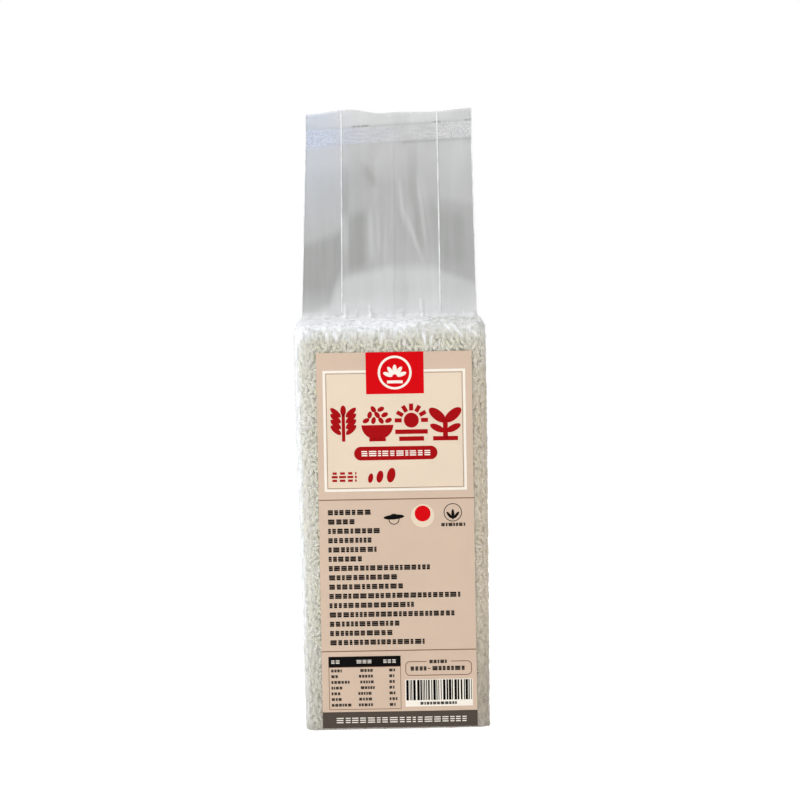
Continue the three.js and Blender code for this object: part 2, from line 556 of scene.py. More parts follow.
def scatterSpots(points, normals, areas, spacing, rng):
    # random places spread evenly over the film's inside, each with the direction that faces out
    deep = np.abs(points[:-1, :, 1]).max(axis=1)
    roomy = (deep > 11) | (points[:-1, 0, 2] < 5)
    weights = (areas[:-1] * roomy[:, None]).ravel()
    weights = weights / weights.sum()
    chosen = rng.choice(len(weights), grains["tries"], p=weights)
    rows, columns = np.divmod(chosen, points.shape[1])
    nextColumns = (columns + 1) % points.shape[1]
    u, v = rng.random((2, grains["tries"], 1))
    low = points[rows, columns] * (1 - u) + points[rows, nextColumns] * u
    high = points[rows + 1, columns] * (1 - u) + points[rows + 1, nextColumns] * u
    spots = low * (1 - v) + high * v
    outs = normals[rows, columns]
    hidden = (outs[:, 1] < -0.9) & (underLabel(spots[:, 0], spots[:, 2], 6) > 0)
    hidden |= (outs[:, 1] < -0.25) & (spots[:, 2] < 5) & (underLabel(spots[:, 0], spots[:, 2], 3) > 0)
    kept = ~hidden & (np.linalg.norm(outs, axis=1) > 0.5)
    spots, outs = spots[kept], outs[kept]
    tree = KDTree(len(spots))
    for index, spot in enumerate(spots):
        tree.insert(spot, index)
    tree.balance()
    free = np.ones(len(spots), bool)
    picked = []
    for index, spot in enumerate(spots):
        if free[index]:
            picked.append(index)
            for _, near, _ in tree.find_range(spot, spacing):
                free[near] = False
    return spots[picked], outs[picked]


def standsOut(points):
    # how far points stand out of the brick's upright faces, its base and its shoulders
    z = points[:, 2]
    share = np.sin(np.pi / 2 * np.clip(z / pack["height"], 0, 1))
    wide = blend(pack["footWidth"], pack["topWidth"], share) / 2
    rise = np.clip((z - pack["height"] + pack["shoulder"]) / pack["shoulder"], 0, 1)
    deep = blend(pack["tailFootThickness"], pack["depth"], np.sqrt(1 - rise * rise)) / 2
    corner = np.minimum(pack["corner"], deep)
    across = np.abs(points[:, 0]) - (wide - corner)
    inward = np.abs(points[:, 1]) - (deep - corner)
    beyond = np.hypot(np.maximum(across, 0), np.maximum(inward, 0))
    return np.maximum(beyond + np.minimum(np.maximum(across, inward), 0) - corner, -z)


def layGrains():
    envelope = ringsOf(brickLevels(0, grains["step"]), grains["steps"])
    normals, areas = normalsOf(envelope)
    rng = np.random.default_rng(grains["seed"])
    top = scatterSpots(envelope, normals, areas, grains["spacing"], rng)
    deep = scatterSpots(envelope, normals, areas, grains["deepSpacing"], rng)
    spots = np.concatenate([top[0], deep[0]])
    outs = np.concatenate([top[1], deep[1]])
    sunk = np.concatenate([np.zeros(len(top[0])), np.full(len(deep[0]), grains["deepInset"])])
    count = len(spots)
    # a frame at each spot: along the grain, across it, and out
    side = np.cross(np.where(np.abs(outs[:, 2:3]) > 0.9, (0, 1, 0), (0, 0, 1)), outs)
    side /= np.linalg.norm(side, axis=1, keepdims=True)
    up = np.cross(outs, side)
    angle = rng.uniform(0, np.pi, count)
    nearTop = smooth(spots[:, 2], 190, 232)
    upright = rng.random(count) < 0.2 + 0.55 * nearTop
    angle = np.where(upright, rng.normal(np.pi / 2, 0.32, count), angle)
    angle = angle + np.where(rng.random(count) < 0.5, np.pi, 0)
    tilt = np.radians(rng.normal(0, grains["tilt"], count))
    flat = np.cos(angle)[:, None] * side + np.sin(angle)[:, None] * up
    along = np.cos(tilt)[:, None] * flat + np.sin(tilt)[:, None] * outs
    across = np.cross(outs, along)
    across /= np.linalg.norm(across, axis=1, keepdims=True)
    facing = np.cross(along, across)
    kindNames = list(grains["kinds"])
    shares = [grains["kinds"][name]["share"] for name in kindNames]
    kind = rng.choice(len(kindNames), count, p=shares)
    size = rng.normal(1, grains["vary"], (count, 3)).clip(0.82, 1.18)
    pieces = []
    for number, name in enumerate(kindNames):
        facts = grains["kinds"][name]
        mine = kind == number
        scale = size[mine] * (facts["length"], facts["width"], facts["width"] * 0.9)
        reach = scale[:, :1] * 0.42 * along[mine]
        thick = scale[:, 2] * 0.45
        crown = 0.6 * smooth(spots[mine, 2], 236, 243)
        depth = thick * rng.uniform(0.85, 1.5, mine.sum()) + sunk[mine] + crown
        middle = spots[mine] - outs[mine] * depth[:, None]
        for end in (reach, -reach):
            over = np.maximum(standsOut(middle + end) + thick * 0.55 + sunk[mine] * 0.8, 0)
            middle = middle - outs[mine] * over[:, None]
        shape, faces = grainShape(name == "broken_grains")
        turns = np.stack([along[mine], across[mine], facing[mine]], axis=-1)
        verts = np.einsum("nij,nvj->nvi", turns, shape[None] * scale[:, None, :]) + middle[:, None, :]
        inside = standsOut(verts.reshape(-1, 3)).reshape(verts.shape[:2]).max(axis=1) < grains["proud"]
        verts = verts[inside & (verts[..., 2].max(axis=1) < pack["height"] - 1)]
        verts[..., 2] = np.maximum(verts[..., 2], grains["lowest"])
        total = len(verts)
        corners = faces[None] + (np.arange(total) * len(shape))[:, None, None]
        mesh = bpy.data.meshes.new(name)
        mesh.from_pydata((verts * mm).reshape(-1, 3).tolist(), [], corners.reshape(-1, 3).tolist())
        tones = np.repeat(rng.beta(1.6, 1.4, total), len(shape)).astype(np.float32)
        mesh.attributes.new("tone", "FLOAT", "POINT").data.foreach_set("value", tones)
        mesh.shade_smooth()
        material = riceMaterial(name, facts["dark"], facts["pale"])
        pieces.append(dress(linked(name, mesh), material))
        print(name, total, "grains,", len(mesh.polygons), "faces")
    return pieces


grainPieces = layGrains()

# The film over the brick, sucked on to the grains.
wrap = {
    "steps": (51, 8, 14),
    "step": 1.0,
    "reach": 4.0,  # how far out the search for the grains starts
    "rounds": 20,
    "pull": 0.02,
    "lift": 0.13,
    "farthest": 3.0,  # the film's depth where it finds no grain
    "behindLabel": 0.33,
    "base": 0.4,  # the film's height over the folded end below it
    "wrinkle": (0.42, 0.3, 0.17),  # upright folds at the shoulder, and level ones near the tail
    "crownWrinkle": (0.14, 0.4, 0.6),
    "crumple": 0.9,
    # where these grow from nothing to full, as heights
    "crumpled": (228, 246),
    "loose": (231.5, 243.5),
    "crown": (238, 244),
    "nearTail": (240, 246),
    "nearFoot": (4, 11),
    # white streaks on the front's shoulder, raised folds with a painted highlight along each: their ends as x
    # and z, half width and strength
    "streaks": [
        (-38, 242, -36.4, 229, 0.7, 0.4),
        (-33.7, 242, -31.4, 235, 0.8, 0.5),
        (-28, 240, -21.7, 232, 1.1, 0.45),
        (-13, 237, -9.3, 233, 0.9, 0.4),
        (-5.4, 241, -5, 234, 0.8, 0.4),
        (4, 244, 3.2, 236, 0.7, 0.35),
        (20.2, 241, 22, 228, 0.8, 0.7),
        (25.6, 239, 24.8, 231, 0.8, 0.5),
        (35.7, 247, 45, 235, 0.8, 0.6),
        (45, 243, 56, 235, 0.7, 0.5),
        (31, 248, 37, 240, 0.7, 0.4),
    ],
}


def grainDepths(points, outs):
    # how deep the rice lies under each point of the brick's form
    verts, faces = [], []
    for piece in [riceCore] + grainPieces:
        start = len(verts)
        verts += [v.co.copy() for v in piece.data.vertices]
        faces += [[start + i for i in p.vertices] for p in piece.data.polygons]
    tree = BVHTree.FromPolygons(verts, faces)
    depths = np.full(len(points), wrap["farthest"])
    for index, (point, out) in enumerate(zip(points, outs)):
        if out @ out > 0.5:
            start = Vector((point + out * wrap["reach"]) * mm)
            hit = tree.ray_cast(start, Vector(-out), 0.012)[3]
            if hit is not None:
                depths[index] = hit / mm - wrap["reach"]
    return depths


def drawnTight(depth):
    # lets the film span from grain to grain, never deeper than each
    lying = depth.copy()
    for _ in range(wrap["rounds"]):
        padded = np.pad(lying, ((1, 1), (0, 0)), mode="edge")
        around = (padded[:-2] + padded[2:] + np.roll(lying, 1, axis=1) + np.roll(lying, -1, axis=1)) / 4
        lying = np.minimum(depth, around + wrap["pull"])
    return lying


def whiteStreaks(x, y, z):
    streak = np.zeros(z.shape)
    for x1, z1, x2, z2, reach, strength in wrap["streaks"]:
        share = (z - z1) / (z2 - z1)
        ends = smooth(share, 0, 0.25) * (1 - smooth(share, 0.75, 1))
        away = x - (x1 + (x2 - x1) * share)
        streak += strength * ends * np.exp(-((away / reach) ** 2)) * (y < 0)
    return streak


def makeWrap():
    envelope = ringsOf(brickLevels(0, wrap["step"]), wrap["steps"])
    normals, _ = normalsOf(envelope)
    x, y, z = np.moveaxis(envelope, -1, 0)
    outX, outY = np.abs(normals[..., 0]), normals[..., 1]
    depth = grainDepths(envelope.reshape(-1, 3), normals.reshape(-1, 3)).reshape(z.shape)
    behind = (outY < -0.9) & (underLabel(x, z, 0) > 0)
    depth = np.where(behind, wrap["behindLabel"], depth)
    # no deeper than this at the upright edges, near the tail and near the foot
    nearTail = smooth(z, *wrap["nearTail"])
    nearFoot = 1 - smooth(z, *wrap["nearFoot"])
    upright = np.clip(outX * np.abs(outY) * 3, 0, 1)
    for share, deepest in ((upright, 0.45), (nearTail, 0.3), (nearFoot, 0.3)):
        depth = np.minimum(depth, blend(wrap["farthest"], deepest, share))
    crown = smooth(z, *wrap["crown"])
    wrinkle = np.abs(noiseOver(envelope, Vector(wrap["wrinkle"])))
    crownWrinkle = np.abs(noiseOver(envelope, Vector(wrap["crownWrinkle"])))
    crumple = (0.55 - blend(wrinkle, crownWrinkle, crown) * 1.3) * wrap["crumple"]
    streak = whiteStreaks(x, y, z)
    lying = drawnTight(depth) - smooth(z, *wrap["crumpled"]) * crumple - streak * 0.6
    points = envelope - normals * (lying - wrap["lift"])[..., None]
    points[..., 2] = np.maximum(points[..., 2], wrap["base"])
    shutEnds(points)
    # where the film is whitish: loose near the tail, along the side gussets' middle creases and at the foot,
    # and, as a painted highlight, at the upright edges, most at the left one
    edge = smooth(outX, 0.45, 0.8) * (np.abs(outY) > 0.05)
    leftward = smooth(-x, 20, 58)
    rightward = smooth(x, 5, 40)
    loose = smooth(z, *wrap["loose"]) * blend(1, 0.66, rightward)
    crease = np.exp(-(y / 0.7) ** 2) * (outX > 0.9)
    outer = smooth(-x, 42, 55) * (outY < 0.5)
    inner = smooth(x, 43, 48) * (outY < 0.5)
    veil = 0.28 + loose * 0.38 + 0.46 * nearTail * blend(1, 0.5, rightward)
    veil += 0.2 * (1 - smooth(z, 3, 9)) + 0.12 * inner + 0.4 * crease + streak
    veil += (edge * blend(0.1, 0.44, leftward) + 0.22 * outer) * blend(0.3, 1, smooth(z, 15, 90))
    return smoothPiece("brick_film", sheetFromGrid(points, True, {
        "veil": veil,
        "loose": loose * (1 - crown),
        "crown": crown,
        # paler where loose, and as painted highlight at the left edge and on the shoulder's streaks
        "pale": loose + edge * leftward + 0.55 * outer + streak,
    }))


brickFilm = dress(makeWrap(), film)
print("wrap made", len(brickFilm.data.polygons))

# The film tail above the rice: front, back and the two folded gussets.
tail = {
    "steps": (62, 3, 20),
    "rowStep": 1.5,
    "start": -3,  # just below its foot, inside the rice
    "film": 0.12,
    "spread": 0.6,  # how much wider each edge is with the film's own crease
    "bow": 0.9,
    "welded": 0.7,  # its thickness in the band, and at the lip
    "open": 2.6,
    "bunch": 1.6,  # how far it stands out where it is bunched up at its foot
    "shade": 0.385,
    # the cut edge's waves, as height at places across it
    "lipAt": (-52, -42, -32, -24, -17, -6, 2, 14, 28, 32, 42, 52),
    "lipHeight": (0.8, 1.2, 2.3, 2.8, 1.5, -1.1, -0.7, -1.2, -2.1, -1.7, -1.2, -0.8),
    # the inner folds of the gussets, at the cut edge and at the foot
    "foldLeft": (-28.8, -28.8),
    "foldRight": (29.6, 31.2),
    # painted reflections, as soft darker and paler places on the front: x from and to, how soft across,
    # height above the tail's foot of the lower edge at left and right, of the upper edge at left and right,
    # how soft, strength
    "shades": [
        (-60, 60, 0.5, 88, 88, 140, 140, 12, -0.07),
        (-60, 60, 0.5, -20, -20, 10, 10, 9, -0.2),
        (-28.8, 2.4, 0.5, -20, -20, 25, 32, 3.5, -0.16),
        (2.4, 30.6, 0.5, -20, -20, 32, 29, 5, -0.16),
        (30.6, 60, 0.5, -20, -20, 28, 20, 3, -0.16),
        (-60, -36, 1.5, -20, -20, 3, 5, 5, -0.2),
        (-36, -28.8, 1.5, -20, -20, 14, 23, 5, -0.2),
        (-60, -36, 3, -20, -20, 17, 17, 8, -0.1),
        (-60, -34, 3, 2, 9, 46, 52, 4, 0.2),
        (-34, -28.8, 1.5, 20, 31, 52, 54.5, 4, 0.2),
        (-24, -8, 3, 80, 80, 104, 104, 5, 0.06),
        (-28.4, -24.5, 1, 64, 64, 94, 94, 4, 0.12),
        (30.6, 60, 0.5, 24, 20, 130, 130, 4, -0.02),
        (-28.8, 2.4, 0.5, 25, 31, 130, 130, 3.5, 0.09),
        (-25.5, -14, 2.6, 29, 31, 63, 66, 5, 0.18),
        (-28.4, -24.5, 1.2, 42, 42, 60, 60, 6, -0.12),
        (2.4, 30.6, 0.5, 30, 30, 130, 130, 4, 0.07),
        (11.5, 17.4, 1.3, 70, 70, 104, 106, 8, 0.13),
        (15, 29.8, 4, 38, 38, 70, 70, 8, 0.13),
        (30.6, 60, 0.5, 27.5, 19.5, 72, 66, 3, 0.11),
        (30.6, 46, 4, 33, 31, 64, 62, 6, 0.09),
        (-26, 60, 2, 118, 118, 140, 140, 2, 0.1),
        (40, 60, 4, 119, 119, 140, 140, 2, 0.15),
        # a painted shadow line along the band's top edge, with darker stretches
        *((left, right, soft, 117.5, 117.5, 118.3, 118.3, 0.4, strength) for left, right, soft, strength in (
            (-60, 60, 0.5, 0.2), (-22.4, -19.8, 0.4, 0.7), (-19, -17.4, 0.4, 0.7), (-16.7, -12.2, 0.4, 0.7),
            (27.3, 31.8, 0.6, 0.55), (46.4, 48.2, 0.4, 0.6), (49, 51, 0.4, 0.6),
        )),
        # a painted shadow line under the band's right half
        (8, 60, 2, 106.2, 106.2, 107, 107, 0.5, 0.22),
    ],
    # creases on the front: their ends as x and height above the tail's foot, half width, and strength,
    # which is below zero for a dark one; each is a low ridge, a bright one with a painted highlight, a dark
    # one with painted shade
    "creases": [
        (6.4, 86, 9.6, 54, 1.3, 0.34),
        (8.6, 68, 21.6, 31, 1.3, 0.46),
        (2.6, 72, 17, 31, 1.2, -0.14),
        (17.2, 90, 24, 33, 1.1, 0.36),
        (13, 84, 20.6, 36, 1.3, -0.14),
        (19.8, 90, 24.6, 50, 1.6, 0.16),
        (-11.4, 70, -10.3, 33, 1.4, 0.34),
        (-6.7, 68, -6, 38, 1.0, 0.3),
        (-2, 64, -2.4, 28, 0.9, 0.15),
        (-18.5, 98, -5.5, 78, 3.2, -0.27),
        # short bright ones rising from the tail's foot, as painted glints
        (-27.2, 10, -26.2, -6, 0.7, 2.4),
        (-11.9, 9, -11.2, -6, 0.6, 2.2),
        (19.4, 12, 20.8, -6, 0.6, 2.6),
        (-20, 6, -21, -6, 0.5, 1.2),
        (8, 6, 7.4, -6, 0.5, 1.2),
        # the seam at the back, seen through the film as a paler line
        (2.4, 150, 2.4, -20, 0.5, 0.16),
    ],
}


def lipWave(x):
    places = np.asarray(x)[..., None] + np.array([-4, -2, 0, 2, 4])
    return np.interp(places, tail["lipAt"], tail["lipHeight"]).mean(axis=-1)


def foldAt(side, rise):
    # where the left or right gusset's inner fold is at that height
    top, foot = tail["foldLeft" if side < 0 else "foldRight"]
    return blend(foot, top, min(max(rise / pack["tailHeight"], 0), 1))


def tailPlace(x, y, rise):
    # a point of the tail's flat pattern in its place
    share = np.clip(rise / pack["tailHeight"], 0, 1)
    tilt = math.tan(pack["sealTilt"]) * np.clip(rise / pack["sealBottom"], 0, 1)
    held = np.sin(np.clip(share * 1.18, 0, 1) * np.pi)
    bow = tail["bow"] * np.sin(share * 5.2) * np.cos(x / 21 + share * 2) * held
    wave = smooth(rise, pack["sealTop"], pack["tailHeight"])
    return np.stack([
        x + pack["tailShift"] * share,
        y + pack["tailLean"] * share * share + bow,
        pack["height"] + rise + x * tilt + lipWave(x) * wave,
    ], axis=-1)


def tailHalfWidth(rise):
    share = min(max(rise / pack["sealBottom"], 0), 1)
    return blend(pack["tailFootWidth"], pack["tailSealWidth"], share) / 2 + tail["spread"]


def tailThickness(rise):
    foot = blend(pack["tailFootThickness"], pack["tailThickness"], smooth(rise, 0, 12))
    closed = smooth(rise, pack["sealBottom"] - 14, pack["sealBottom"] - 1)
    opened = smooth(rise, pack["sealTop"], pack["tailHeight"])
    return blend(blend(foot, tail["welded"], closed), tail["open"], opened)


def tailRises():
    body = np.arange(tail["start"], pack["sealBottom"], tail["rowStep"])
    band = np.linspace(pack["sealBottom"], pack["sealTop"], 6)
    lip = np.linspace(pack["sealTop"] + 1.8, pack["tailHeight"], 8)
    return np.concatenate([body, band, [pack["sealTop"] + 0.5, pack["sealTop"] + 1], lip])


def creasesAt(x, rise):
    ridge = np.zeros(len(x))
    for x1, z1, x2, z2, reach, strength in tail["creases"]:
        share = (rise - z1) / (z2 - z1)
        ends = np.clip(share, 0, 1) * np.clip(1 - share, 0, 1) * 4
        away = x - (x1 + (x2 - x1) * share)
        ridge += strength * ends * np.exp(-((away / reach) ** 2))
    return ridge


def softStep(value, edge, soft):
    return smooth(value, edge - soft, edge + soft)


def shadeAt(x, rise):
    shade = np.full(len(x), tail["shade"])
    for left, right, softAcross, lowLeft, lowRight, highLeft, highRight, soft, strength in tail["shades"]:
        across = softStep(x, left, softAcross) - softStep(x, right, softAcross)
        start, end = max(left, -52), min(right, 52)
        share = np.clip((x - start) / (end - start), 0, 1)
        above = softStep(rise, blend(lowLeft, lowRight, share), soft)
        below = 1 - softStep(rise, blend(highLeft, highRight, share), soft)
        shade += strength * across * above * below
    return shade


def makeTail():
    panelSteps, cornerSteps, sideSteps = tail["steps"]
    face = panelSteps + cornerSteps
    half = 2 * (face + sideSteps)
    column = np.arange(2 * half)
    front = (column <= face) | (column >= 2 * half - face)
    back = np.abs(column - half) <= face
    rings, veils, tones, cools = [], [], [], []
    for rise in tailRises():
        # outline's sides fold in by one millimetre, which is drawn out to each gusset's own depth
        wide = tailHalfWidth(rise)
        x, y = outline(wide, tailThickness(rise) / 2, 0.4, 1, tail["steps"])
        for side in (-1, 1):
            depth = wide - side * foldAt(side, rise)
            tucked = ~(front | back) & (x * side > 0)
            x = np.where(tucked, side * (wide - (wide - x * side) * depth), x)
        points = tailPlace(x, y, rise)
        ridge = creasesAt(x, rise)
        # at its foot the film is bunched up where it leaves the rice
        bunched = 1 - smooth(rise - 0.4 * np.sin(x / 2.3) - 0.35 * np.sin(x / 0.9 + 1), 0.8, 3)
        frontWave = tail["bunch"] + 0.5 * np.sin(x / 1.3) * np.sin(x / 3.7 + rise)
        backWave = tail["bunch"] + 0.5 * np.sin(x / 1.1 + 2) * np.sin(x / 3.1 + rise)
        points[:, 1] -= (ridge * 0.5 + bunched * frontWave) * front
        points[:, 1] += bunched * backWave * back
        rings.append(points)
        lipShare = smooth(rise, pack["sealTop"] - 1, pack["sealTop"] + 2)
        shade = shadeAt(x, rise) * (1 - 0.5 * lipShare) * (1 - bunched)
        tones.append(np.clip(shade - 0.45 * ridge * front, 0, 1))
        veil = np.where(front, 0.5, np.where(back, 0.34, 0.05)) * (1 - 0.3 * lipShare)
        veils.append(veil + 0.2 * np.abs(ridge) * front + 0.42 * bunched)
        cool = 0.45 * smooth(-x, 10, 50) * smooth(rise, 40, 100)
        cools.append(cool + 0.3 * smooth(-x, 20, 40) * smooth(rise, 100, 110))
    bm = sheetFromGrid(rings, True, {"veil": veils, "tone": tones, "cool": cools})
    return sheetPiece("tail_film", bm, tail["film"])


tailPiece = dress(makeTail(), tailFilm)
print("tail made", len(tailPiece.data.polygons))

# The folds' sharp edges, creased white with a painted highlight along each, as strips up the tail: the
# gussets' inner folds and the outer edges.
folds = {"gusset": 0.75, "edge": 0.6, "thickness": 0.35, "lift": 0.1, "inset": 0.2}


def makeFolds():
    bm = bmesh.new()
    rises = tailRises()
    for side in (-1, 1):
        for face in (-1, 1):
            for kind in ("gusset", "edge"):
                rows = []
                for rise in rises[rises >= 0]:
                    edge = side * (tailHalfWidth(rise) - folds["inset"])
                    x = foldAt(side, rise) if kind == "gusset" else edge
                    y = face * (tailThickness(rise) / 2 + folds["lift"])
                    rows.append(tailPlace(x + np.array([-0.5, 0, 0.5]) * folds[kind], y, rise))
                sheetFromGrid(rows, bm=bm)
    return sheetPiece("fold_creases", bm, folds["thickness"])


dress(makeFolds(), creasedFilm)

# The seam that closes the bag at the back, from its foot to the cut edge.
backSeam = {"x": 2.4, "wide": 8.5, "clear": 0.25, "film": 0.2, "columns": 9}


def makeBackSeam():
    share = np.linspace(0, 1, backSeam["columns"])
    across = backSeam["x"] + share * backSeam["wide"]
    rows = []
    for _, halfDepth, _, _, z in brickLevels(0, 1.5):
        if z > pack["footRound"] and halfDepth > pack["tailFootThickness"]:
            ripple = 0.25 + 0.2 * np.sin(z / 3.1 + across) * np.sin(z / 7.7)
            y = halfDepth + backSeam["clear"] + ripple * share
            rows.append(np.stack([across, y, np.full(len(across), z)], axis=-1))
    for rise in tailRises():
        if rise >= 1:
            rows.append(tailPlace(across, tailThickness(rise) / 2 + backSeam["clear"], rise))
    veil = np.full((len(rows), len(across)), 0.16)
    veil[:, 0] = 0.8
    veil[:, -1] = 0.6
    bm = sheetFromGrid(rows, values={"veil": veil, "pale": veil})
    return sheetPiece("back_seam", bm, backSeam["film"])


dress(makeBackSeam(), film)

# The bag's other end, sealed and folded flat under the base, with the creases of its tucked-in corners.
footSeal = {
    "wide": 104,
    "deep": 11,
    "shift": 1.5,
    "below": 0.22,  # under the film's base
    "tooth": 0.02,
    "thickness": 0.272,
}
footCrease = {"start": (34, 1.5), "end": (52.5, 17.5), "wide": 0.8, "below": 0.12, "thickness": 0.16}


def makeFootSeal():
    x = np.linspace(-0.5, 0.5, 130) * footSeal["wide"]
    y = np.linspace(-0.5, 0.5, 15) * footSeal["deep"] + footSeal["shift"]
    gridX, gridY = np.meshgrid(x, y)
    teeth = np.cos(gridX * 3.4) * np.cos(gridY * 3.4) * footSeal["tooth"]
    points = np.stack([gridX, gridY, wrap["base"] - footSeal["below"] + teeth], axis=-1)
    return sheetPiece("foot_seal", sheetFromGrid(points), footSeal["thickness"])


def makeFootCreases():
    bm = bmesh.new()
    share = np.linspace(0, 1, 20)[:, None, None]
    spread = np.array([-0.5, 0, 0.5])[:, None] * footCrease["wide"]
    for side in ((-1, -1), (-1, 1), (1, -1), (1, 1)):
        start = np.array(side) * footCrease["start"]
        along = np.array(side) * footCrease["end"] - start
        across = np.array([-along[1], along[0]]) / np.linalg.norm(along)
        flat = start + along * share + across * spread
        z = np.full(flat.shape[:2] + (1,), wrap["base"] - footCrease["below"])
        sheetFromGrid(np.concatenate([flat, z], axis=-1), bm=bm)
    return sheetPiece("foot_creases", bm, footCrease["thickness"])


dress(makeFootSeal(), weldedFilm)
dress(makeFootCreases(), creasedFilm)

# The heat-seal band across the tail.
seal = {"pitch": 1.3, "tooth": 0.1, "grid": 0.5, "thickness": 1.1, "endThickness": 0.6, "inset": 0.15}


def makeSeal():
    rises = np.linspace(pack["sealBottom"], pack["sealTop"], round(pack["sealHeight"] / seal["grid"]))
    steps = (round(pack["tailSealWidth"] / 2 / seal["grid"]), 2, 1)
    wave = 2 * np.pi / seal["pitch"] / 1.41
    rings = []
    for rise in rises:
        inner = rises[0] < rise < rises[-1]
        half = seal["thickness" if inner else "endThickness"] / 2
        x, y = outline(tailHalfWidth(rise) - seal["inset"], half, 0.3, 0, steps)
        teeth = np.cos(wave * (x + rise)) * np.cos(wave * (x - rise))
        rings.append(tailPlace(x, y + np.sign(y) * teeth * seal["tooth"] * inner, rise))
    rings = [rings[0].copy(), *rings, rings[-1].copy()]
    shutEnds(rings)
    return smoothPiece("seal_band", sheetFromGrid(rings, True))


dress(makeSeal(), weldedFilm)
print("seal made")

# The label: a sheet of printed paper, and the print as thin raised shapes on it.
def raised(bm, thickness, cut):
    # gives flat faces their thickness, large ones cut up first so that they can follow the sheet
    if cut:
        for axis, reach in ((0, 44), (1, 112)):
            for place in range(-reach, reach + 1, 4):
                spot = [0, 0, 0]
                spot[axis] = place
                geom = bm.verts[:] + bm.edges[:] + bm.faces[:]
                across = [float(axis == 0), float(axis == 1), 0]
                bmesh.ops.bisect_plane(bm, geom=geom, dist=1e-4, plane_co=spot, plane_no=across)
    made = bmesh.ops.extrude_face_region(bm, geom=bm.faces[:])["geom"]
    lifted = [part for part in made if isinstance(part, bmesh.types.BMVert)]
    bmesh.ops.translate(bm, vec=(0, 0, thickness), verts=lifted)


def panel(bm, u0, v0, u1, v1, lift=0.0, grid=4.0):
    # a rectangle between two corners
    across = max(1, round(abs(u1 - u0) / grid))
    up = max(1, round(abs(v1 - v0) / grid))
    made = bmesh.ops.create_grid(bm, x_segments=across, y_segments=up, size=0.5)["verts"]
    bmesh.ops.scale(bm, vec=(abs(u1 - u0), abs(v1 - v0), 1), verts=made)
    bmesh.ops.translate(bm, vec=((u0 + u1) / 2, (v0 + v1) / 2, lift), verts=made)
    return made


def bar(bm, u, v, wide, high, lift=0.0, turn=0.0):
    made = panel(bm, -wide / 2, -high / 2, wide / 2, high / 2)
    place = Matrix.Translation((u, v, lift)) @ Matrix.Rotation(math.radians(turn), 4, "Z")
    bmesh.ops.transform(bm, matrix=place, verts=made)


def oval(bm, u, v, wide, high, lift=0.0, turn=0.0, segments=20):
    made = bmesh.ops.create_circle(bm, cap_ends=True, radius=0.5, segments=segments)["verts"]
    place = Matrix.Translation((u, v, lift)) @ Matrix.Rotation(math.radians(turn), 4, "Z")
    bmesh.ops.transform(bm, matrix=place @ Matrix.Diagonal((wide, high, 1, 1)), verts=made)


def ring(bm, u, v, radius, wide, lift=0.0, segments=32):
    outer = bmesh.ops.create_circle(bm, radius=radius, segments=segments)["verts"]
    inner = bmesh.ops.create_circle(bm, radius=radius - wide, segments=segments)["verts"]
    edges = list({edge for vert in outer + inner for edge in vert.link_edges})
    bmesh.ops.bridge_loops(bm, edges=edges)
    bmesh.ops.translate(bm, vec=(u, v, lift), verts=outer + inner)


def pill(bm, u0, v0, u1, v1, lift=0.0):
    # a bar with round ends
    radius = (v1 - v0) / 2
    made = bmesh.ops.create_circle(bm, cap_ends=True, radius=radius, segments=32)["verts"]
    stretch = (u1 - u0) / 2 - radius
    for vert in made:
        vert.co.x += stretch if vert.co.x > 1e-5 else -stretch
    bmesh.ops.translate(bm, vec=((u0 + u1) / 2, (v0 + v1) / 2, lift), verts=made)


def frameLines(bm, u0, v0, u1, v1, wide, lift=0.0):
    for v in (v0, v1 - wide):
        panel(bm, u0, v, u1, v + wide, lift)
    for u in (u0, u1 - wide):
        panel(bm, u, v0 + wide, u + wide, v1 - wide, lift)


printed = {
    "ink": 0.04,
    "seed": 5,
    "rowTop": 17.2,
    "rowGap": 5.62,
    # the rows' lengths
    "rows": [26, 16, 33, 26, 29, 20, 61, 41, 45, 79, 51, 77, 42, 38, 57],
}
# where a layer of print starts: on the paper, on the first print and on the second
onPaper = label["thickness"]
onFirst = onPaper + printed["ink"]
onSecond = onFirst + printed["ink"]
dice = random.Random(printed["seed"])


def textMarks(bm, u, v, length, high, lift, weight=0.15):
    # rows of small dashes in place of fine print, weight being half a dash's share of the height
    end = u + length
    while u < end - high * 0.4:
        wide = min(dice.uniform(0.5, 1.3) * high, end - u)
        for rise in (-0.34, 0, 0.34):
            less = dice.uniform(0, 0.06) * wide
            start = u + dice.uniform(0, less)
            low, top = v + (rise - weight) * high, v + (rise + weight) * high
            panel(bm, start, low, start + wide - less, top, lift)
        u += wide + high * dice.uniform(0.2, 0.32)


def drawSheet(bm):
    half = (label["width"] / 2, label["height"] / 2)
    panel(bm, -half[0], -half[1], half[0], half[1], 0, 3.4)


def drawCream(bm):
    panel(bm, -41.5, 31.3, 41.2, 101.2, onPaper)
    oval(bm, 15.7, 14.5, 14, 14, onPaper, segments=40)


def drawWhite(bm):
    frameLines(bm, -43, 29.8, 42.7, 102.7, 1.4, onPaper)
    panel(bm, 3.4, -101, 44.1, -84.6, onPaper)
    # a fan of grains in a ring on the red square
    ring(bm, 0.4, 101, 10.2, 1.4, onSecond)
    for turn in (20, 55, 90, 125, 160):
        u, v = math.cos(math.radians(turn)), math.sin(math.radians(turn))
        oval(bm, 0.4 + 4.4 * u, 98.4 + 4.4 * v, 6, 2.5, onSecond, turn, 14)
    bar(bm, 0.4, 95.4, 9.4, 1.7, onSecond)
    textMarks(bm, -20.5, 52.5, 41.5, 3.6, onSecond, 0.1)
    textMarks(bm, -38.4, -108.8, 79, 3.8, onSecond, 0.075)
    for u, length in ((-41, 5), (-25.8, 9), (-9.6, 7.5)):
        textMarks(bm, u, -73.2, length, 2.4, onSecond, 0.08)


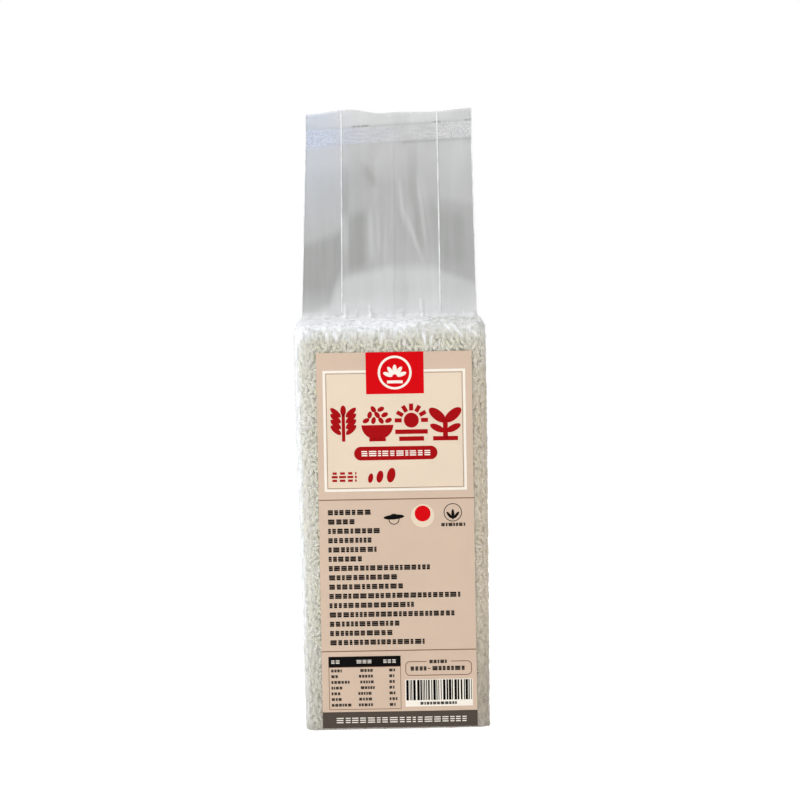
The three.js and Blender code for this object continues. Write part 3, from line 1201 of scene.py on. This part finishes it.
def riceEar(bm, u, v, lift):
    # a bent stalk with grains on both sides
    for number in range(5):
        rise = -8.4 + number * 3.5
        bar(bm, u, v + rise, 2, 3.6, lift)
        if number:
            for side in (-1, 1):
                oval(bm, u + side * 4.6, v + rise + 1.6, 8.2, 3.3, lift, 90 - side * 48, 16)
    oval(bm, u, v + 8.4, 6.4, 3.4, lift, 90, 16)


def riceBowl(bm, u, v, lift):
    # half a disc with a foot, and grains heaped above it
    made = bmesh.ops.create_circle(bm, cap_ends=True, radius=9.6, segments=40)["verts"]
    for vert in made:
        vert.co.y = min(vert.co.y, 0) * 0.92
    bmesh.ops.remove_doubles(bm, verts=made, dist=1e-4)
    made = [vert for vert in made if vert.is_valid]
    bmesh.ops.translate(bm, vec=(u, v - 0.6, lift), verts=made)
    bar(bm, u, v - 9.4, 10, 2, lift)
    for row, count in enumerate((4, 3, 2)):
        for number in range(count):
            spread = (number - (count - 1) / 2) * 4.5
            oval(bm, u + spread, v + 2.1 + row * 3.4, 4.4, 2.8, lift, 25 + 50 * ((number + row) % 3), 14)


def sunRays(bm, u, v, lift):
    # a sun over two furrows
    oval(bm, u, v + 2, 9, 9, lift, segments=36)
    for number in range(7):
        angle = math.radians(number * 30)
        bar(bm, u + 7.9 * math.cos(angle), v + 2 + 7.9 * math.sin(angle), 4.2, 2.5, lift, number * 30)
    bar(bm, u, v - 4.9, 19.6, 2.7, lift)
    bar(bm, u, v - 9.1, 15, 2.7, lift)


def sprout(bm, u, v, lift):
    # two leaves on a stem
    bar(bm, u, v - 3.6, 2.9, 12, lift)
    for side in (-1, 1):
        oval(bm, u + side * 4.7, v + 4.8, 12.4, 6, lift, 90 - side * 50, 24)
        oval(bm, u + side * 4.9, v - 3, 9.4, 4, lift, 90 - side * 64, 24)
    bar(bm, u, v - 9.2, 15, 2.6, lift)


def drawRed(bm):
    panel(bm, -17, 88.2, 17.8, label["height"] / 2, onFirst)
    oval(bm, 15.7, 15.8, 9.6, 9.6, onFirst, segments=36)


def drawDeepRed(bm):
    # the row of drawings, the pill below them and three grains of growing size
    pill(bm, -24.9, 48.4, 25.3, 56.7, onFirst)
    for drawing, u in ((riceEar, -31), (riceBowl, -10.6), (sunRays, 9.9), (sprout, 30.3)):
        drawing(bm, u, 70.2, onFirst)
    for u, length in ((-38.6, 3.6), (-34.2, 4.2), (-29.2, 3.6), (-24.7, 1.2)):
        for v, share in ((38.6, 1), (36.4, 0.8), (40.8, 0.7)):
            bar(bm, u + length / 2, v, length * share, 1.4, onFirst)
    for u, wide, high in ((-15.2, 3, 5.8), (-9.6, 4, 7.4), (-2.8, 5, 9)):
        oval(bm, u, 34.8 + high / 2, wide, high, onFirst, -12, 24)


def drawDark(bm):
    for number, length in enumerate(printed["rows"]):
        textMarks(bm, -41.4, printed["rowTop"] - number * printed["rowGap"], length, 3.1, onPaper)
    # the table's head and its rows
    panel(bm, -42.7, -76.3, 0.9, -70, onFirst)
    for number in range(7):
        v = -78.6 - number * 3.48
        textMarks(bm, -41.2, v, dice.choice((4, 6.5, 6.5, 12)), 1.7, onPaper)
        textMarks(bm, -27.5 + dice.uniform(0, 5), v, 8.5, 1.7, onPaper)
        textMarks(bm, -6.2, v, dice.choice((3.6, 4.8)), 1.7, onPaper)
    # the heading, and marks in the round box
    for u, v, length, high in ((18.2, -73.9, 11, 2.1), (6.8, -78, 9.6, 2.6), (20, -78, 20.6, 2.6)):
        textMarks(bm, u, v, length, high, onPaper)
    bar(bm, 18, -78, 1.6, 0.5, onPaper)
    # upright bars of seeded widths
    u = 4
    while u < 43.2:
        wide = dice.choice((0.5, 0.6, 1.0, 1.5))
        panel(bm, u, -97.2, min(u + wide, 43.6), -84.9, onFirst)
        u += wide + dice.choice((0.4, 0.6, 0.9))
    textMarks(bm, 12.4, -99.1, 22, 1.7, onFirst)
    # a small plant in a ring, and a hat
    ring(bm, 33.9, 16.2, 5.5, 0.45, onPaper)
    oval(bm, 33.9, 15, 1.9, 6.4, onPaper, 0, 14)
    for side in (-1, 1):
        oval(bm, 33.9 + side * 2.2, 14.6, 1.7, 5, onPaper, -side * 38, 14)
    textMarks(bm, 26.8, 8.9, 14.5, 2, onPaper)
    ring(bm, -1.6, 12.7, 3.3, 0.5, onPaper)
    oval(bm, -1.6, 14, 12.5, 2.9, onPaper, 4, 24)


def drawThinLines(bm):
    for v in (24.8, -66.8):
        panel(bm, -label["width"] / 2, v - 0.3, label["width"] / 2, v + 0.3, onPaper)
    frameLines(bm, -42.7, -102.3, 0.9, -76.3, 0.35, onPaper)
    for u0, u1, v in ((-41.2, -17.2, 100.6), (18, 40.9, 100.6), (-41.2, 40.9, 31.6)):
        panel(bm, u0, v, u1, v + 0.3, onFirst)
    for u in (-41.2, 40.6):
        panel(bm, u, 31.9, u + 0.3, 100.6, onFirst)
    # the round box, open at the top for its heading
    for u0, u1, v in ((6.5, 16.5, -73.8), (31.2, 41, -73.8), (6.5, 41, -82.1)):
        panel(bm, u0, v - 0.25, u1, v + 0.25, onPaper)
    for u in (3.9, 43.6):
        panel(bm, u - 0.25, -79.6, u + 0.25, -76.3, onPaper)
    for u, v, start in ((41.1, -76.3, 0), (6.4, -76.3, 90), (6.4, -79.6, 180), (41.1, -79.6, 270)):
        for turn in np.arange(start + 7.5, start + 90, 15):
            angle = math.radians(turn)
            bar(bm, u + 2.5 * math.cos(angle), v + 2.5 * math.sin(angle), 0.5, 0.72, onPaper, turn)


def drawFootBar(bm):
    half = (label["width"] / 2, label["height"] / 2)
    panel(bm, -half[0], -half[1], half[0], -103.7, onPaper)


def makeLabelPiece(name, draw, thickness, cut):
    bm = bmesh.new()
    draw(bm)
    raised(bm, thickness, cut)
    place = labelPlace()
    for vert in bm.verts:
        u, v = vert.co.xy
        wave = math.sin(u / 17 + 1) * math.sin(v / 23) + 0.4 * math.sin(v / 9 + u / 13)
        vert.co.z += label["swell"] * wave
        vert.co = place @ vert.co
    bmesh.ops.recalc_face_normals(bm, faces=bm.faces)
    return linked(name, meshFrom(name, bm))


for name, draw, thickness, cut, code, slot in (
    ("label_sheet", drawSheet, label["thickness"], False, "dcc4af", "label_face"),
    ("cream_panel", drawCream, printed["ink"], True, "f0ddc6", "label_cream"),
    ("white_print", drawWhite, printed["ink"], False, "fff8ec", "label_cream"),
    ("red_print", drawRed, printed["ink"], True, "de000c", "label_red"),
    ("deep_red_print", drawDeepRed, printed["ink"], True, "ac070e", "label_red"),
    ("dark_print", drawDark, printed["ink"], False, "070404", "label_dark"),
    ("thin_lines", drawThinLines, printed["ink"], False, "8a6a55", "label_dark"),
    ("foot_bar", drawFootBar, printed["ink"], False, "544c44", "label_dark"),
):
    piece = makeLabelPiece(name, draw, thickness, cut)
    dress(piece, inkMaterial(name + "_ink", code), "front_label")
print("label made")

# The studio: a white floor, a white surround and soft light, stronger from the left.
studio = {
    "floor": 6.0,
    "surround": 0.38,
    "aim": (0, 0, 0.17),
    "lamps": {
        "key": {"at": (-0.95, -0.5, 0.55), "size": (1.2, 1.1), "power": 6},
        "front": {"at": (0.1, -1.9, 1.3), "size": (1.6, 1.2), "power": 5.3},
        "top": {"at": (-0.2, -0.3, 1.5), "size": (1.2, 1.0), "power": 6},
        "right": {"at": (1.0, -0.2, 0.4), "size": (0.3, 0.9), "power": 1.6},
        "back": {"at": (0.2, 1.8, 0.9), "size": (1.4, 1.2), "power": 4},
    },
}


def makeFloor():
    bm = bmesh.new()
    bmesh.ops.create_grid(bm, x_segments=8, y_segments=8, size=studio["floor"] / 2)
    floor = smoothPiece("floor", bm)
    material, nodes = newMaterial("floorPaint")
    shade = nodes.mixed(nodes.noise(6, 2), "f0f0ef", "f6f6f6")
    seen = nodes.node("ShaderNodeLightPath", out="Is Camera Ray")
    nodes.surface(nodes.paint({
        "Base Color": shade,
        "Roughness": 0.8,
        "Emission Color": nodes.mixed(seen, (0.36, 0.36, 0.36, 1), white),
        "Emission Strength": 0.7,
    }))
    floor.data.materials.append(material)


def makeSurround():
    world = bpy.data.worlds.new("surround")
    world.use_nodes = True
    bpy.context.scene.world = world
    nodes = Nodes(world.node_tree)
    spot = nodes.node("ShaderNodeTexCoord", out="Generated")
    across = nodes.node("ShaderNodeSeparateXYZ", {}, {0: spot}, out="X")
    light = studio["surround"] * (1 - across * 0.25)
    seen = nodes.node("ShaderNodeLightPath", out="Is Camera Ray")
    strength = light * (1 - seen) + seen
    back = nodes.node("ShaderNodeBackground", {}, {"Color": white, "Strength": strength})
    nodes.node("ShaderNodeOutputWorld", {}, {"Surface": back})


def makeLamp(name, facts):
    lamp = bpy.data.lights.new(name, "AREA")
    lamp.shape = "RECTANGLE"
    lamp.size, lamp.size_y = facts["size"]
    lamp.energy = facts["power"]
    aim = Vector(studio["aim"]) - Vector(facts["at"])
    turned = aim.to_track_quat("-Z", "Y").to_matrix().to_4x4()
    linked(name, lamp).matrix_world = Matrix.Translation(facts["at"]) @ turned


makeFloor()
makeSurround()
for name, facts in studio["lamps"].items():
    makeLamp(name, facts)

# The camera, level with the label's upper part and a little above it, looking down by 2 degrees.
view = {"aimX": 0.0054, "aimZ": 0.1993, "away": 1.2, "pitch": 2.03, "roll": -1.22, "lens": 89.8}


def makeCamera():
    data = bpy.data.cameras.new("camera")
    data.lens = view["lens"]
    data.sensor_width = 36
    data.clip_start = 0.01
    holder = linked("camera", data)
    pitch = math.radians(view["pitch"])
    at = Vector((
        view["aimX"],
        bagLow.y - view["away"] * math.cos(pitch),
        view["aimZ"] + view["away"] * math.sin(pitch),
    ))
    tip = Matrix.Rotation(math.pi / 2 - pitch, 4, "X")
    holder.matrix_world = Matrix.Translation(at) @ tip @ Matrix.Rotation(math.radians(view["roll"]), 4, "Z")
    bpy.context.scene.camera = holder


makeCamera()
bpy.context.scene.view_settings.view_transform = "Standard"
bpy.context.scene.cycles.transparent_max_bounces = 24
